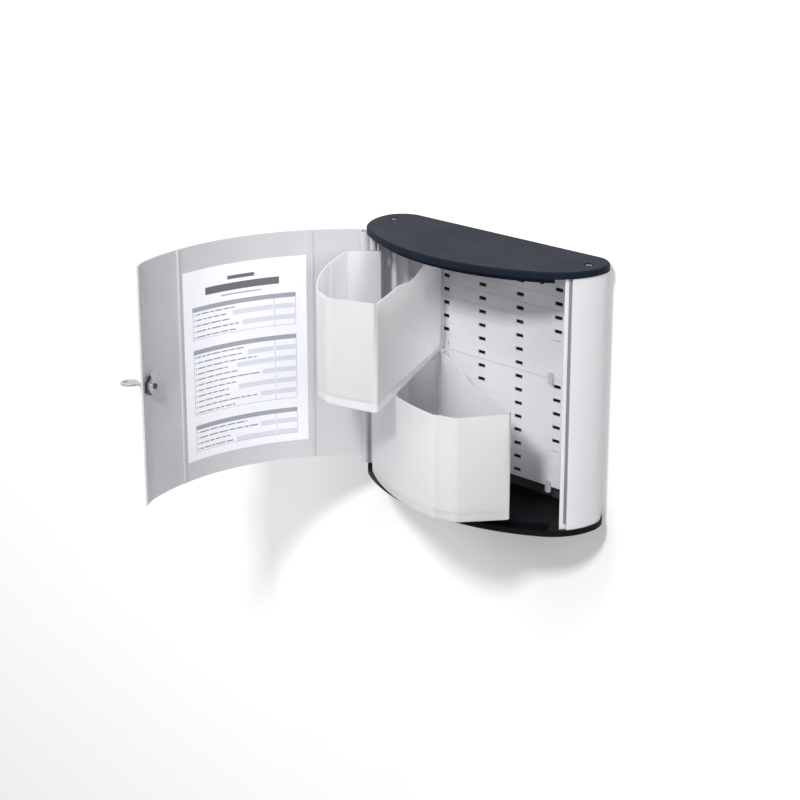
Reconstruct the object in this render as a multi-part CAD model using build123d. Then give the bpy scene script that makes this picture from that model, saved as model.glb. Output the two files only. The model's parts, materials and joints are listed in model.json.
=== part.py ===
from build123d import *
from math import asin, atan2, cos, degrees, radians, sin, sqrt
import os

# Wall cabinet with a curved swing door, seen from the front: X right, Y into the wall, Z up.
# The wall is Y = 0 and the middle of the cabinet is X = 0, Z = 0. Sizes in millimetres.

# Caps
cabinet_width = 302.0
cabinet_height = 280.0
cap_depth = 116.5
cap_thickness = 7.0
cap_edge_chamfer = 1.4
back_corner_radius = 28.5
shoulder_radius = 63.0
stop_rib_inset = 8.2
stop_rib_thickness = 2.2
stop_rib_height = 6.0
stop_rib_angle = 50.0
cap_recess_radius = 4.4
cap_recess_depth = 3.4

# Side profiles, drawn by how far they stand inside the caps' outline
shell_inset = 1.5
shell_wall = 1.8
flange_start = 96.0
right_jamb_angle = 33.5
right_lip_angle = 40.0
left_lip_angle = 35.0
jamb_web = 1.6
lip_thickness = 1.5
channel_from_side = 18.0
channel_y = -30.0
channel_radius = 3.4
channel_web = 1.6

# Door leaf and its hinge
leaf_thickness = 2.0
finger_gap = 2.7
leaf_top_gap = 1.6
leaf_bottom_gap = 6.0
door_open_angle = 105.0
hinge_angle = 34.0
hinge_inset = 5.5
barrel_radius = 4.2
barrel_wall = 1.2
tube_radius = 6.0
tube_wall = 1.6
tube_from_hinge = 8.2
hinge_gap = 0.9
hinge_pin_radius = 1.8
hinge_pin_seat = 4.0
hinge_pin_length = 14.0
bush_length = 10.0
bush_flange = 1.2

# Lock in the door leaf
lock_from_edge = 17.0
lock_body_radius = 8.0
lock_flange_radius = 10.5
lock_flange_thickness = 2.0
lock_body_length = 5.4
plug_radius = 5.5
plug_stand_out = 0.4
nut_radius = 10.4
nut_thickness = 2.4
nut_turn = 30.0
cam_length = 17.0
cam_width = 9.0
cam_thickness = 1.5
cam_screw_head_radius = 3.0
cam_screw_head_height = 1.5
key_blade_width = 7.0
key_blade_thickness = 1.8
key_blade_length = 7.0
key_neck_length = 8.0
key_bow_radius = 9.5
key_bow_hole_radius = 2.6

# Contents sheet, an A5 page under a clear film between two rails
sheet_width = 148.0
sheet_height = 210.0
sheet_thickness = 0.3
sheet_from_edge = 78.0
sheet_middle_height = -1.0
film_thickness = 0.4
film_gap = 0.25
film_margin = 6.0
rail_width = 2.4
rail_height = 1.6

# Back plate and slotted panels
plate_thickness = 1.5
plate_half_width = 120.0
wall_slot_x = 80.0
wall_slot_z = 100.0
wall_slot_radius = 2.75
wall_slot_length = 12.0
rivet_x = 106.0
rivet_z = 112.0
rivet_radius = 1.6
rivet_head_radius = 3.0
rivet_head_height = 1.0
rivet_head_chamfer = 0.6
rivet_tail_inset = 0.2
panel_front = 7.0
panel_thickness = 1.5
panel_seam = 0.4
panel_foot_width = 3.0
panel_foot_x = 115.0
slot_pitch_x = 52.0
slot_pitch_z = 15.0
slot_columns = 4
slot_width = 10.0
slot_height = 4.0
right_column_closed_rows = 3
groove_width = 0.7
groove_depth = 0.35
clip_x = 70.0
clip_width = 7.0
clip_height = 13.0
clip_thickness = 1.8
clip_corner = 1.2
clip_stem_radius = 1.5

# Swing-out bins, drawn closed from their pivot: x to the right, y towards the wall
bin_pivot_x = -78.0
bin_pivot_y = -14.0
bin_wall = 1.2
bin_length = 204.0
bin_front_inset = 6.4
bin_front_end = 28.0
bin_step_end = 25.0
bin_step = 4.0
bin_corner_end = 11.0
bin_corner_setback = 7.3
bin_front_left = 40.0
bin_mouth = (25.0, -60.0)
bin_ear_length = 50.0
bin_rim_drop = 5.0
bin_scoop = (86.0, 102.0, 134.0)
bin_scoop_drop = 8.0
bin_rim_radius = 40.0
bin_floor_start = 20.0
bin_floor_drop = 5.5
bin_hem_radius = 2.8
bin_rod_radius = 1.5
bin_rod_overhang = 4.0
bin_clip_height = 3.0
bin_clip_width = 8.0
bin_clip_thickness = 1.6
bin_tongue_gap = 1.5
bin_split = 1.5
bin_base_thickness = 1.6
bin_base_lift = 3.0
upper_bin_angle = 66.0
lower_bin_angle = 27.3

# Door bumper under the top cap
bumper_from_side = 42.0
bumper_radius = 3.4
bumper_reach = 8.5
bumper_chamfer = 1.6
bumper_stem_radius = 1.6
bumper_stem_length = 3.0

# Small parts, fits and how far a cut or a joined piece runs past a face
screw_head_radius = 3.6
screw_head_height = 2.2
screw_head_chamfer = 0.9
screw_slot_width = 1.0
screw_slot_depth = 0.8
screw_radius = 1.7
screw_length = 16.0
seal_thickness = 0.9
seal_width = 2.6
seal_from_jamb = 0.2
fit = 0.05
press_fit = 0.01
seat_gap = 0.3
overlap = 1.0

# Worked out from the sizes above
half_width = cabinet_width / 2
half_height = cabinet_height / 2
body_half = half_height - cap_thickness
channel_x = half_width - channel_from_side
bumper_x = half_width - bumper_from_side
back_x = half_width - back_corner_radius
shoulder_x = half_width - shoulder_radius
centre_y = -back_corner_radius
front_reach = cap_depth - shoulder_radius
front_centre_y = (shoulder_x**2 + centre_y**2 - front_reach**2) / (2 * (front_reach + centre_y))
front_radius = front_centre_y + cap_depth
tangent_angle = degrees(atan2(front_centre_y - centre_y, shoulder_x))
leaf_half = body_half - leaf_top_gap
leaf_inner_inset = shell_inset + leaf_thickness
hinge_reach = shoulder_radius - hinge_inset
hinge_x = -shoulder_x - hinge_reach * cos(radians(hinge_angle))
hinge_y = centre_y - hinge_reach * sin(radians(hinge_angle))
panel_back = panel_front - panel_thickness
slot_rows = int(body_half // slot_pitch_z)
panel_module = slot_rows * slot_pitch_z
corner_reach = back_corner_radius - shell_inset - shell_wall
panel_half_width = back_x + sqrt(corner_reach**2 - (back_corner_radius - panel_back) ** 2) - seat_gap
lock_body_end = leaf_thickness + lock_body_length
plug_end = lock_body_end + plug_stand_out
cam_top = plug_end + cam_thickness
slot_first_x = -slot_pitch_x * (slot_columns - 1) / 2
bin_hinge_top = panel_module - slot_pitch_z / 2
bin_hinge_height = bin_hinge_top - bin_split
bin_height = bin_hinge_height + bin_floor_drop
bin_back_drop = bin_floor_drop - 2 * bin_split + 2 * seat_gap
leaf_low = leaf_bottom_gap - body_half


def polar(centre, radius, angle):
    """Point on a circle at an angle in degrees."""
    return (centre[0] + radius * cos(radians(angle)), centre[1] + radius * sin(radians(angle)))


def prism(plan, low, high):
    """Upright solid over a plan, between two heights."""
    return extrude(Pos(0, 0, low) * plan, amount=high - low, dir=(0, 0, 1))


def closed(*edges):
    """Plan bounded by a loop of edges."""
    return make_face(Wire(list(edges)))


def block(low, high):
    """Box between two corners."""
    size = [b - a for a, b in zip(low, high)]
    middle = [(a + b) / 2 for a, b in zip(low, high)]
    return Pos(*middle) * Box(*size)


def upright(x, y, radius, low, high):
    """Upright cylinder."""
    return Pos(x, y, (low + high) / 2) * Cylinder(radius, high - low)


def wallward(x, z, radius, front, back):
    """Cylinder along Y between two depths in front of the wall."""
    return Pos(x, -(front + back) / 2, z) * Rot(90, 0, 0) * Cylinder(radius, abs(front - back))


def mirrored(shape):
    """The same shape on the other side of the cabinet's middle plane."""
    return mirror(shape, about=Plane.YZ)


def cap_outline():
    """D-shaped plan: straight on the wall, round back corners, shoulders and a bowed front."""
    right = (shoulder_x, centre_y)
    left = (-shoulder_x, centre_y)
    bow = 180 - 2 * tangent_angle
    return closed(
        Line((-back_x, 0), (back_x, 0)),
        CenterArc((back_x, centre_y), back_corner_radius, 90, -90),
        CenterArc(right, shoulder_radius, 0, -tangent_angle),
        CenterArc((0, front_centre_y), front_radius, -tangent_angle, -bow),
        CenterArc(left, shoulder_radius, 180 + tangent_angle, -tangent_angle),
        CenterArc((-back_x, centre_y), back_corner_radius, 180, -90),
    )


def front_band(outer, inner, left_angle, right_angle):
    """Band that follows the front between two insets, from one shoulder angle to the other."""
    right = (shoulder_x, centre_y)
    left = (-shoulder_x, centre_y)
    bow = 180 - 2 * tangent_angle
    right_span = tangent_angle - right_angle
    left_span = tangent_angle - left_angle
    out_r = shoulder_radius - outer
    in_r = shoulder_radius - inner
    return closed(
        CenterArc(right, out_r, -right_angle, -right_span),
        CenterArc((0, front_centre_y), front_radius - outer, -tangent_angle, -bow),
        CenterArc(left, out_r, 180 + tangent_angle, -left_span),
        Line(polar(left, out_r, 180 + left_angle), polar(left, in_r, 180 + left_angle)),
        CenterArc(left, in_r, 180 + left_angle, left_span),
        CenterArc((0, front_centre_y), front_radius - inner, 180 + tangent_angle, bow),
        CenterArc(right, in_r, -tangent_angle, right_span),
        Line(polar(right, in_r, -right_angle), polar(right, out_r, -right_angle)),
    )


def shoulder_band(outer, inner, start, end):
    """Part of a ring about the right shoulder's centre, between two insets and two angles."""
    centre = (shoulder_x, centre_y)
    out_r = shoulder_radius - outer
    in_r = shoulder_radius - inner
    return closed(
        CenterArc(centre, out_r, -start, start - end),
        Line(polar(centre, out_r, -end), polar(centre, in_r, -end)),
        CenterArc(centre, in_r, -end, end - start),
        Line(polar(centre, in_r, -start), polar(centre, out_r, -start)),
    )


def shoulder_arc(length):
    """Angle that a length along the cabinet's side spans on a shoulder."""
    return degrees(length / (shoulder_radius - shell_inset))


def shell_band(end_angle):
    """Right side wall in plan: flange on the wall, round corner and shoulder up to an angle."""
    outer = shell_inset
    inner = shell_inset + shell_wall
    centre = (shoulder_x, centre_y)
    corner = (back_x, centre_y)
    out_r = shoulder_radius - outer
    in_r = shoulder_radius - inner
    return closed(
        Line((flange_start, -outer), (back_x, -outer)),
        CenterArc(corner, back_corner_radius - outer, 90, -90),
        CenterArc(centre, out_r, 0, -end_angle),
        Line(polar(centre, out_r, -end_angle), polar(centre, in_r, -end_angle)),
        CenterArc(centre, in_r, -end_angle, end_angle),
        CenterArc(corner, back_corner_radius - inner, 0, 90),
        Line((back_x, -inner), (flange_start, -inner)),
        Line((flange_start, -inner), (flange_start, -outer)),
    )


def screw_channel():
    """Round channel for a cap screw and the web that ties it to the side wall."""
    wall_x = half_width - shell_inset - shell_wall / 2
    ring = Pos(channel_x, channel_y) * Circle(channel_radius)
    web_length = wall_x - channel_x
    web = Pos(channel_x + web_length / 2, channel_y) * Rectangle(web_length, channel_web)
    bore = Pos(channel_x, channel_y) * Circle(screw_radius + fit)
    return ring + web - bore


def make_right_side_profile():
    """Extrusion whose front edge steps in to a lip that the door's free edge closes over."""
    step = leaf_inner_inset + seal_thickness + seat_gap
    web_start = right_jamb_angle - shoulder_arc(jamb_web)
    web = shoulder_band(shell_inset, step + lip_thickness, web_start, right_jamb_angle)
    lip = shoulder_band(step, step + lip_thickness, web_start + shoulder_arc(jamb_web / 2), right_lip_angle)
    plan = shell_band(right_jamb_angle) + web + lip + screw_channel()
    return prism(plan, -body_half, body_half)


def make_left_side_profile():
    """Extrusion whose front edge steps in behind the hinge barrel."""
    swing = degrees((barrel_radius + hinge_gap) / hinge_reach)
    end_angle = hinge_angle - swing
    step = hinge_inset + barrel_radius + hinge_gap
    web_span = degrees(jamb_web / hinge_reach)
    web = shoulder_band(shell_inset, step + lip_thickness, end_angle - web_span, end_angle)
    lip = shoulder_band(step, step + lip_thickness, end_angle - web_span / 2, left_lip_angle)
    plan = shell_band(end_angle) + web + lip + screw_channel()
    return mirrored(prism(plan, -body_half, body_half))


def make_top_cap():
    """Cap plate with a chamfered edge, a door-stop rib, screw recesses and the hinge pin's seat."""
    cap = prism(cap_outline(), body_half, half_height)
    rim = cap.faces().sort_by(Axis.Z)[-1].edges().filter_by(lambda edge: edge.center().Y < -fit)
    cap = chamfer(rim, cap_edge_chamfer)
    rib = front_band(stop_rib_inset, stop_rib_inset + stop_rib_thickness, stop_rib_angle, stop_rib_angle)
    cap += prism(rib, body_half - stop_rib_height, body_half + overlap)
    for x in (-channel_x, channel_x):
        cap -= upright(x, channel_y, screw_radius + fit, body_half - overlap, half_height)
        cap -= upright(x, channel_y, cap_recess_radius, half_height - cap_recess_depth, half_height + overlap)
    seat = body_half + hinge_pin_seat
    return cap - upright(hinge_x, hinge_y, hinge_pin_radius + press_fit, body_half - overlap, seat)


def bumper_place():
    """The bumper's centre, just behind the stop rib."""
    inset = stop_rib_inset + stop_rib_thickness + bumper_radius + seat_gap
    reach = front_radius - inset
    return (bumper_x, front_centre_y - sqrt(reach**2 - bumper_x**2))


def make_bumper():
    """Round nub under the top cap, on a stem pressed into it."""
    x, y = bumper_place()
    nub = upright(x, y, bumper_radius, body_half - bumper_reach, body_half)
    nub = chamfer(nub.edges().sort_by(Axis.Z)[0], bumper_chamfer)
    return nub + upright(x, y, bumper_stem_radius, body_half - overlap, body_half + bumper_stem_length)


def make_cap_screws():
    """Pan-head screws through the caps into the channels."""
    seat = half_height - cap_recess_depth
    top = seat + screw_head_height
    screw = upright(channel_x, channel_y, screw_radius, seat - screw_length, seat + overlap)
    head = upright(channel_x, channel_y, screw_head_radius, seat, top)
    head = chamfer(head.edges().sort_by(Axis.Z)[-1], screw_head_chamfer)
    slot = block(
        (channel_x - screw_head_radius, channel_y - screw_slot_width / 2, top - screw_slot_depth),
        (channel_x + screw_head_radius, channel_y + screw_slot_width / 2, top + overlap),
    )
    right = screw + (head - slot)
    pair = [right, mirrored(right)]
    return pair + [mirror(piece, about=Plane.XY) for piece in pair]


def make_back_plate():
    """Plate on the wall with four slotted wall-screw holes and the rivets' holes."""
    plate = block((-plate_half_width, -plate_thickness, -body_half), (plate_half_width, 0, body_half))
    for x in (-wall_slot_x, wall_slot_x):
        for z in (-wall_slot_z, wall_slot_z):
            slot = SlotOverall(wall_slot_length, 2 * wall_slot_radius)
            plate -= Pos(x, overlap, z) * Rot(90, 0, 0) * extrude(slot, amount=plate_thickness + 2 * overlap)
    for x, z in rivet_places():
        plate -= wallward(x, z, rivet_radius + fit, -overlap, plate_thickness + overlap)
    return plate


def rivet_places():
    """Six rivets, three on each flange."""
    return [(x, z) for x in (-rivet_x, rivet_x) for z in (-rivet_z, 0, rivet_z)]


def make_rivets():
    """Rivets through the flanges and the back plate, heads inside the cabinet."""
    seat = shell_inset + shell_wall
    rivets = []
    for x, z in rivet_places():
        head = wallward(x, z, rivet_head_radius, seat, seat + rivet_head_height)
        head = chamfer(head.edges().sort_by(Axis.Y)[0], rivet_head_chamfer)
        rivets.append(head + wallward(x, z, rivet_radius, rivet_tail_inset, seat + rivet_head_height / 2))
    return rivets


def drilled_for_rivets(profile):
    """Side profile with the rivets' holes through its flange."""
    for x, z in rivet_places():
        profile -= wallward(x, z, rivet_radius + fit, shell_inset - overlap, shell_inset + 2 * shell_wall)
    return profile


def slot_place(column, row):
    """Middle of a slot in the upper panel; row 0 is the lowest."""
    return (slot_first_x + column * slot_pitch_x, slot_pitch_z * (row + 0.5))


def panel_slots():
    """The open slots of the upper panel: the right column's lowest rows are left closed."""
    places = []
    for column in range(slot_columns):
        closed_rows = right_column_closed_rows if column == slot_columns - 1 else 0
        places += [slot_place(column, row) for row in range(closed_rows, slot_rows)]
    return places


def make_upper_slot_panel():
    """Slotted panel with shallow grooves between its rows, on upright feet."""
    low = panel_seam / 2
    high = panel_module - panel_seam / 2
    panel = block((-panel_half_width, -panel_front, low), (panel_half_width, -panel_back, high))
    flange_front = shell_inset + shell_wall
    foot_front = -(panel_front + panel_back) / 2
    for x, seat in ((-panel_foot_x, flange_front), (0, plate_thickness), (panel_foot_x, flange_front)):
        panel += block((x - panel_foot_width / 2, foot_front, low), (x + panel_foot_width / 2, -seat, high))
    for x, z in panel_slots():
        panel -= block(
            (x - slot_width / 2, -panel_front - overlap, z - slot_height / 2),
            (x + slot_width / 2, -panel_back + overlap, z + slot_height / 2),
        )
    for row in range(1, slot_rows):
        z = row * slot_pitch_z
        panel -= block(
            (-panel_half_width - overlap, -panel_front - overlap, z - groove_width / 2),
            (panel_half_width + overlap, -panel_front + groove_depth, z + groove_width / 2),
        )
    for z in (0, panel_module):
        panel -= wallward(clip_x, z, clip_stem_radius + fit, panel_back - overlap, panel_front + overlap)
    return panel


def make_lower_slot_panel(upper):
    """The same panel set one panel height lower."""
    return Pos(0, 0, -panel_module) * upper


def make_panel_clips():
    """Clear clips over the panels' edges, each on a stem that reaches the back plate."""
    clips = []
    for z in (-panel_module, 0, panel_module):
        face = block(
            (clip_x - clip_width / 2, -panel_front - clip_thickness, z - clip_height / 2),
            (clip_x + clip_width / 2, -panel_front, z + clip_height / 2),
        )
        face = chamfer(face.edges().filter_by(Axis.Y), clip_corner)
        stem_end = panel_front + clip_thickness / 2
        clips.append(face + wallward(clip_x, z, clip_stem_radius, plate_thickness, stem_end))
    return clips


def make_door_seal():
    """Rubber strip in the corner of the right jamb, where the door's free edge closes."""
    step = leaf_inner_inset + seal_thickness + seat_gap
    start = right_jamb_angle + shoulder_arc(seal_from_jamb)
    plan = shoulder_band(step - seal_thickness, step - fit, start, start + shoulder_arc(seal_width))
    return prism(plan, leaf_low, leaf_half)


def make_hinge_pins():
    """Steel pins from the caps into the barrel's bushes."""
    high = body_half + hinge_pin_seat
    top = upright(hinge_x, hinge_y, hinge_pin_radius, high - hinge_pin_length, high)
    return [top, mirror(top, about=Plane.XY)]


def leaf_end_angle():
    """Angle of the door's free edge on the right shoulder, a finger's gap past the jamb."""
    return right_jamb_angle + shoulder_arc(finger_gap)


def lock_angle():
    """Angle of the lock on the right shoulder."""
    return leaf_end_angle() + shoulder_arc(lock_from_edge)


def lock_plane():
    """Plane on the leaf's outer face at the lock: x to the free edge, z into the cabinet."""
    angle = -lock_angle()
    x, y = polar((shoulder_x, centre_y), shoulder_radius - shell_inset, angle)
    inward = (-cos(radians(angle)), -sin(radians(angle)), 0)
    along = (-sin(radians(angle)), cos(radians(angle)), 0)
    return Plane(origin=(x, y, 0), x_dir=along, z_dir=inward)


def stub(radius, low, high):
    """Cylinder along the lock's axis, by depth behind the leaf's outer face."""
    return lock_plane() * Pos(0, 0, (low + high) / 2) * Cylinder(radius, high - low)


def tube_place():
    """Centre of the open tube on the leaf's inner side, next to the hinge barrel."""
    reach = shoulder_radius - shell_inset - tube_radius
    angle = hinge_angle + shoulder_arc(tube_from_hinge)
    return polar((-shoulder_x, centre_y), reach, 180 + angle)


def make_door_leaf():
    """Bowed leaf with a hinge barrel and an open tube along its left edge, and the lock's hole."""
    band = front_band(shell_inset, leaf_inner_inset, hinge_angle, leaf_end_angle())
    barrel = Pos(hinge_x, hinge_y)
    tube = Pos(*tube_place())
    rounds = barrel * Circle(barrel_radius) + tube * Circle(tube_radius)
    leaf = prism(band, leaf_low, leaf_half) + prism(rounds, -leaf_half, leaf_half)
    leaf -= prism(barrel * Circle(barrel_radius - barrel_wall), -leaf_half, leaf_half)
    leaf -= prism(tube * Circle(tube_radius - tube_wall), -leaf_half, leaf_half)
    return leaf - stub(lock_body_radius + 2 * fit, -lock_flange_thickness, lock_body_end)


def make_hinge_bushes():
    """Flanged bushes in both ends of the barrel."""
    high = leaf_half + bush_flange
    low = leaf_half - bush_length
    bush = upright(hinge_x, hinge_y, barrel_radius - barrel_wall - fit, low, high)
    bush += upright(hinge_x, hinge_y, barrel_radius - barrel_wall / 2, leaf_half, high)
    bush -= upright(hinge_x, hinge_y, hinge_pin_radius + fit, low - overlap, high + overlap)
    return [bush, mirror(bush, about=Plane.XY)]


def bow_angle(distance):
    """Angle about the bow's centre of a point at a distance along the leaf from its free edge."""
    shoulder_run = radians(tangent_angle - leaf_end_angle()) * (shoulder_radius - leaf_inner_inset)
    return -tangent_angle - degrees((distance - shoulder_run) / (front_radius - leaf_inner_inset))


def bow_band(outer, inner, start, end):
    """Part of a ring about the bow's centre, by distances along the leaf from its free edge."""
    centre = (0, front_centre_y)
    first = bow_angle(start)
    last = bow_angle(end)
    out_r = front_radius - outer
    in_r = front_radius - inner
    return closed(
        CenterArc(centre, out_r, first, last - first),
        Line(polar(centre, out_r, last), polar(centre, in_r, last)),
        CenterArc(centre, in_r, last, first - last),
        Line(polar(centre, in_r, first), polar(centre, out_r, first)),
    )


def sheet_span():
    """Where the contents sheet starts and ends along the leaf."""
    return sheet_from_edge, sheet_from_edge + sheet_width


def film_inset():
    """Inset of the film's outer face, a small gap inside the page."""
    return leaf_inner_inset + fit + sheet_thickness + film_gap


def make_contents_sheet():
    """A5 page lying on the leaf's inner face."""
    start, end = sheet_span()
    plan = bow_band(leaf_inner_inset + fit, leaf_inner_inset + fit + sheet_thickness, start, end)
    low = sheet_middle_height - sheet_height / 2
    return prism(plan, low, low + sheet_height)


def make_document_film():
    """Clear film over the page, held at its sides by the rails."""
    start, end = sheet_span()
    outer = film_inset()
    plan = bow_band(outer, outer + film_thickness, start - film_margin, end + film_margin)
    return prism(plan, leaf_low, leaf_half)


def make_document_rails():
    """Two upright rails with a groove for the film's edges."""
    start, end = sheet_span()
    outer = leaf_inner_inset + fit
    groove_low = film_inset() - fit
    groove_high = film_inset() + film_thickness + fit
    groove = bow_band(groove_low, groove_high, start - film_margin - fit, end + film_margin + fit)
    rails = []
    for edge, side in ((start - film_margin, -1), (end + film_margin, 1)):
        inner_edge = edge - side * rail_width / 2
        outer_edge = edge + side * rail_width / 2
        low, high = sorted((inner_edge, outer_edge))
        plan = bow_band(outer, outer + rail_height, low, high)
        rails.append(prism(plan - groove, leaf_low, leaf_half))
    return rails


def make_lock_housing():
    """Flanged lock body through the leaf."""
    flange = stub(lock_flange_radius, -lock_flange_thickness, 0)
    body = stub(lock_body_radius, -lock_flange_thickness / 2, lock_body_end)
    return flange + body - stub(plug_radius + fit, -lock_flange_thickness - overlap, lock_body_end + overlap)


def make_lock_nut():
    """Hexagon nut on the lock body, its corners against the leaf's hollow inner face."""
    curve = shoulder_radius - leaf_inner_inset
    seat = leaf_thickness + curve - sqrt(curve**2 - nut_radius**2) + fit
    nut = Rot(0, 0, nut_turn) * extrude(RegularPolygon(nut_radius, 6), amount=nut_thickness)
    return lock_plane() * Pos(0, 0, seat) * nut - stub(lock_body_radius + fit, 0, 2 * lock_body_end)


def make_lock_plug():
    """Turning cylinder with the key's slot in its face."""
    plug = stub(plug_radius, -lock_flange_thickness, plug_end)
    depth = key_blade_length + 2 * fit
    slot = Box(key_blade_width + 4 * fit, key_blade_thickness + 4 * fit, 2 * depth)
    return plug - lock_plane() * Pos(0, 0, -lock_flange_thickness) * slot


def make_lock_cam():
    """Cam plate on the plug's end, pointing up when the lock is open."""
    half = cam_width / 2
    arm = cam_length - half
    plan = Circle(half) + Pos(0, -arm / 2) * Rectangle(cam_width, arm) + Pos(0, -arm) * Circle(half)
    plan -= Circle(screw_radius + fit)
    return lock_plane() * Pos(0, 0, plug_end) * extrude(plan, amount=cam_thickness)


def make_cam_screw():
    """Screw that holds the cam on the plug."""
    head = stub(cam_screw_head_radius, cam_top, cam_top + cam_screw_head_height)
    return head + stub(screw_radius, plug_end, cam_top + cam_screw_head_height / 2)


def make_key():
    """Flat key: blade in the plug, neck and a round bow with a ring hole."""
    tip = -lock_flange_thickness + key_blade_length
    neck_end = -lock_flange_thickness - key_neck_length
    blade = block(
        (-key_blade_width / 2, -key_blade_thickness / 2, neck_end - overlap),
        (key_blade_width / 2, key_blade_thickness / 2, tip),
    )
    bow_centre = neck_end - key_bow_radius
    bow = Cylinder(key_bow_radius, key_blade_thickness)
    bow -= Pos(0, key_bow_radius / 2, 0) * Cylinder(key_bow_hole_radius, 3 * key_blade_thickness)
    return lock_plane() * (blade + Pos(0, 0, bow_centre) * Rot(-90, 0, 0) * bow)


def opened_door(shape):
    """Door piece turned about the hinge to its open place."""
    return Pos(hinge_x, hinge_y) * Rot(0, 0, -door_open_angle) * Pos(-hinge_x, -hinge_y) * shape


def bin_front_point(x):
    """Point of a bin's curved front, which keeps its distance from the closed door."""
    reach = front_radius - bin_front_inset
    world_x = x + bin_pivot_x
    return (x, front_centre_y - sqrt(reach**2 - world_x**2) - bin_pivot_y)


def set_back(point, distance):
    """The point moved towards the wall."""
    return (point[0], point[1] + distance)


def bin_plan():
    """Closed outline of a bin, pivot at the origin: a flat end, a short facet, a step and the bow."""
    end = (bin_length, 0)
    corner = set_back(bin_front_point(bin_length - bin_corner_end), bin_corner_setback)
    step = set_back(bin_front_point(bin_length - bin_step_end), bin_step)
    right = bin_front_point(bin_length - bin_front_end)
    left = bin_front_point(bin_front_left)
    middle = bin_front_point((right[0] + left[0]) / 2)
    return closed(
        Line((0, 0), end),
        Line(end, corner),
        Line(corner, step),
        Line(step, right),
        ThreePointArc(right, middle, left),
        Line(left, bin_mouth),
        Line(bin_mouth, (0, 0)),
    )


def mouth_cut():
    """Plan region that leaves the bin open between its mouth edge and its hinge edge."""
    left = Vector(*bin_front_point(bin_front_left))
    mouth = Vector(*bin_mouth)
    across = (mouth - left).normalized().rotate(Axis.Z, 90) * 3 * bin_hem_radius
    hinge_side = 2 * bin_hem_radius
    corners = [mouth + across, mouth - across]
    corners.sort(key=lambda corner: corner.X)
    return make_face(
        Polyline(*corners, Vector(hinge_side, -bin_wall), Vector(-1.5 * hinge_side, -bin_wall), close=True)
    )


def bin_side_shape(rim, front, back):
    """Side view of a bin's walls under a rim line, extruded between two depths."""
    ends = (-2 * bin_hem_radius, bin_length + bin_wall)
    line = [(ends[0], 0), (bin_ear_length, 0), *rim]
    line += [(bin_length - bin_wall, -bin_back_drop), (ends[1], -bin_back_drop)]
    floor = [(ends[1], -bin_height), (bin_floor_start, -bin_hinge_height), (ends[0], -bin_hinge_height)]
    face = make_face(Polyline(*line, *floor, close=True))
    last = bin_length - bin_front_end
    rim_points = [v for v in face.vertices() if v.Y > -2 * bin_scoop_drop]
    bends = [v for v in rim_points if bin_ear_length - overlap < v.X < last - overlap]
    return Pos(0, back, 0) * Rot(90, 0, 0) * extrude(fillet(bends, bin_rim_radius), amount=back - front)


def make_bin_walls():
    """Folded wall of a bin with a scooped back rim and a rolled hem, top of the hem at zero."""
    outline = bin_plan()
    ring = outline - offset(outline, -bin_wall, kind=Kind.INTERSECTION)
    ring -= mouth_cut()
    sheet = prism(ring, -bin_height - overlap, overlap)
    facet = [(bin_length - bin_front_end, -bin_rim_drop), (bin_length - bin_corner_end, -bin_rim_drop)]
    start, stop, rise = bin_scoop
    scoop = [(start, -bin_scoop_drop), (stop, -bin_scoop_drop), (rise, -bin_back_drop)]
    split = -2 * bin_wall
    walls = sheet & bin_side_shape(facet, -cap_depth, split)
    walls += sheet & bin_side_shape(scoop, split, bin_hem_radius)
    walls += upright(0, 0, bin_hem_radius, -bin_hinge_height, 0)
    return walls - upright(0, 0, bin_rod_radius + fit, -bin_hinge_height - overlap, overlap)


def make_bin_base():
    """Floor of a bin, just inside its walls."""
    plan = offset(bin_plan(), -bin_wall - seat_gap / 2, kind=Kind.INTERSECTION)
    plan -= Circle(bin_hem_radius + seat_gap)
    low = -bin_hinge_height + bin_base_lift
    return prism(plan, low, low + bin_base_thickness)


def swung_bin(shape, top, angle):
    """Bin piece on the hinge rod, turned out by an angle."""
    return Pos(bin_pivot_x, bin_pivot_y, top) * Rot(0, 0, -angle) * shape


def make_bin_rod():
    """Upright rod that both bins turn on."""
    reach = bin_hinge_top + bin_rod_overhang
    return upright(bin_pivot_x, bin_pivot_y, bin_rod_radius, -reach, reach)


def rod_clip(low, high, tongues):
    """Clip that carries the rod: an arm, a pad on the panel and tongues through slots."""
    x = slot_first_x
    top = max([high] + [z + slot_height / 2 for z in tongues])
    bottom = min([low] + [z - slot_height / 2 for z in tongues])
    pad = bin_clip_width / 2
    clip = block((x - pad, -panel_front - bin_clip_thickness, bottom), (x + pad, -panel_front, top))
    clip += upright(bin_pivot_x, bin_pivot_y, bin_hem_radius, low, high)
    arm_x = bin_hem_radius
    clip += block((bin_pivot_x - arm_x, bin_pivot_y, low), (bin_pivot_x + arm_x, -panel_front, high))
    for z in tongues:
        clip += block(
            (x - pad, -panel_front - bin_clip_thickness / 2, z - slot_height / 2 + seat_gap),
            (x + pad, -plate_thickness - bin_tongue_gap, z + slot_height / 2 - seat_gap),
        )
    return clip - upright(bin_pivot_x, bin_pivot_y, bin_rod_radius + fit, low - overlap, high + overlap)


def make_bin_clips():
    """Three clips: between the bins, above the upper one and below the lower one."""
    middle = bin_split - seat_gap
    outer_low = bin_hinge_top + seat_gap
    top_slot = slot_place(0, slot_rows - 1)[1]
    top = rod_clip(outer_low, outer_low + bin_clip_height, [top_slot])
    between = rod_clip(-middle, middle, [slot_place(0, 0)[1] - slot_pitch_z, slot_place(0, 0)[1]])
    return [top, between, mirror(top, about=Plane.XY)]


def write(name, shape):
    """Write one node's solids to its file."""
    if isinstance(shape, (list, tuple)):
        shape = Compound(children=[piece.solid() for piece in shape])
    export_step(shape, os.path.join("parts", name + ".step"))


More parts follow.
